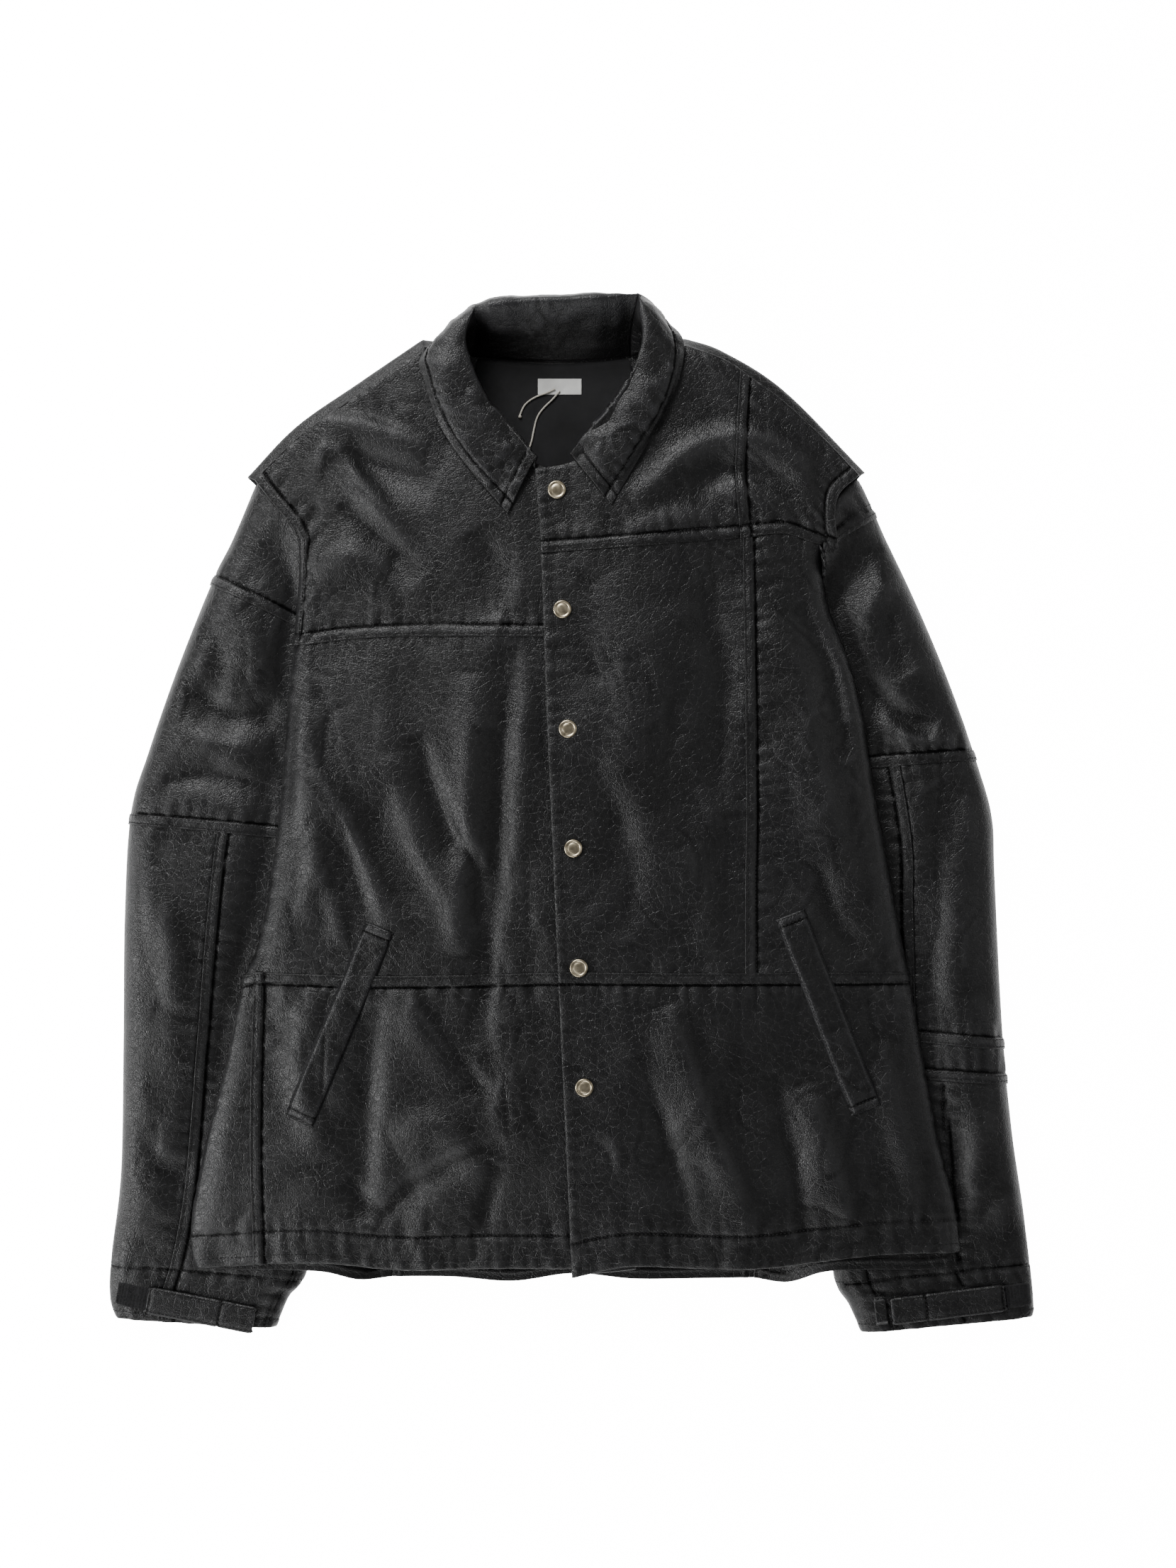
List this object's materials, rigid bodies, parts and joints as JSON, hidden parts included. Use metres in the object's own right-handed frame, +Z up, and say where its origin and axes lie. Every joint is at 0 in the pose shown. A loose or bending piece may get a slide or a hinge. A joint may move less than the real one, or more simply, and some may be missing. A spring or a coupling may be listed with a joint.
{
  "type": "leather jacket",
  "caption": "Hip-length black leather jacket of sewn panels with a shirt collar, snap front, slanted welt pockets and hook-and-loop cuff tabs, laid flat on its back.",
  "frame": {"origin": "middle of the jacket on the surface it lies on", "axes": "+X to the wearer's left, +Y from the hem to the collar, +Z up, out of the jacket's front"},
  "size_m": [0.7633, 0.8536, 0.0503],
  "materials": {
    "leather": "satin finished grain, black",
    "lining_cloth": "woven twill, black",
    "pocket_cloth": "plain cotton, black",
    "snap_metal": "pale nickel plate",
    "label_cloth": "woven satin, off-white",
    "string_cotton": "twisted cotton",
    "tag_card": "uncoated card, white",
    "loop_tape": "fuzzy loop pile, black",
    "hook_tape": "hook tape, black"
  },
  "bodies": {
    "jacket_body": {"back_centre_panel": "leather", "back_left_side_panel": "leather", "back_lining": "lining_cloth", "back_right_side_panel": "leather", "back_yoke": "leather", "collar_fall_back": "leather", "collar_stand_back": "leather", "hang_tag": "tag_card", "left_chest_panel": "leather", "left_outer_lining": "lining_cloth", "left_pocket_welt": "leather", "left_shoulder_panel": "leather", "left_side_chest_panel": "leather", "left_skirt_panel": "leather", "left_yoke_panel": "leather", "neck_label": "label_cloth", "pocket_bags": "pocket_cloth", "right_chest_panel": "leather", "right_outer_lining": "lining_cloth", "right_pocket_welt": "leather", "right_side_panel": "leather", "right_skirt_panel": "leather", "right_yoke_panel": "leather", "string_tail": "string_cotton", "tag_string": "string_cotton"},
    "left_front": {"left_chest_front": "leather", "left_collar_leaf": "leather", "left_facing": "leather", "left_lining_front": "lining_cloth", "left_skirt_front": "leather", "left_under_collar": "leather", "left_yoke_front": "leather", "snap_caps": "snap_metal", "snap_sockets": "snap_metal"},
    "right_front": {"right_chest_front": "leather", "right_collar_leaf": "leather", "right_facing": "leather", "right_lining_front": "lining_cloth", "right_skirt_front": "leather", "right_under_collar": "leather", "right_yoke_front": "leather", "snap_studs": "snap_metal"},
    "left_sleeve": {"left_forearm_band": "leather", "left_forearm_inner": "leather", "left_forearm_outer": "leather", "left_loop_patch": "loop_tape", "left_lower_sleeve": "leather", "left_sleeve_cap": "leather", "left_under_sleeve": "leather", "left_upper_sleeve": "leather"},
    "right_sleeve": {"right_forearm_inner": "leather", "right_forearm_outer": "leather", "right_loop_patch": "loop_tape", "right_sleeve_cap": "leather", "right_under_sleeve": "leather", "right_upper_sleeve": "leather"},
    "left_tab": {"left_cuff_tab": "leather", "left_hook_patch": "hook_tape"},
    "right_tab": {"right_cuff_tab": "leather", "right_hook_patch": "hook_tape"}
  },
  "joints": [
    {"name": "left_front_opens", "type": "hinge", "parent": "jacket_body", "child": "left_front", "pos_m": [0.092, 0, 0.04846], "axis": [0, 1, 0], "range_deg": [0, 150]},
    {"name": "right_front_opens", "type": "hinge", "parent": "jacket_body", "child": "right_front", "pos_m": [-0.127, 0, 0.04186], "axis": [0, -1, 0], "range_deg": [0, 60]},
    {"name": "left_sleeve_swings", "type": "hinge", "parent": "jacket_body", "child": "left_sleeve", "pos_m": [0.2325, 0.283, 0], "axis": [0, 0, 1], "range_deg": [0, 35]},
    {"name": "right_sleeve_swings", "type": "hinge", "parent": "jacket_body", "child": "right_sleeve", "pos_m": [-0.2595, 0.283, 0], "axis": [0, 0, 1], "range_deg": [-35, 0]},
    {"name": "left_tab_lifts", "type": "hinge", "parent": "left_sleeve", "child": "left_tab", "pos_m": [0.26212, -0.40557, 0.01845], "axis": [0.1219, -0.9925, 0], "range_deg": [0, 110]},
    {"name": "right_tab_lifts", "type": "hinge", "parent": "right_sleeve", "child": "right_tab", "pos_m": [-0.26198, -0.41293, 0.01845], "axis": [0.1908, 0.9816, 0], "range_deg": [0, 110]}
  ],
  "couplings": [
    {"joint": "right_front_opens", "follows": "left_front_opens", "ratio": 0.4}
  ]
}
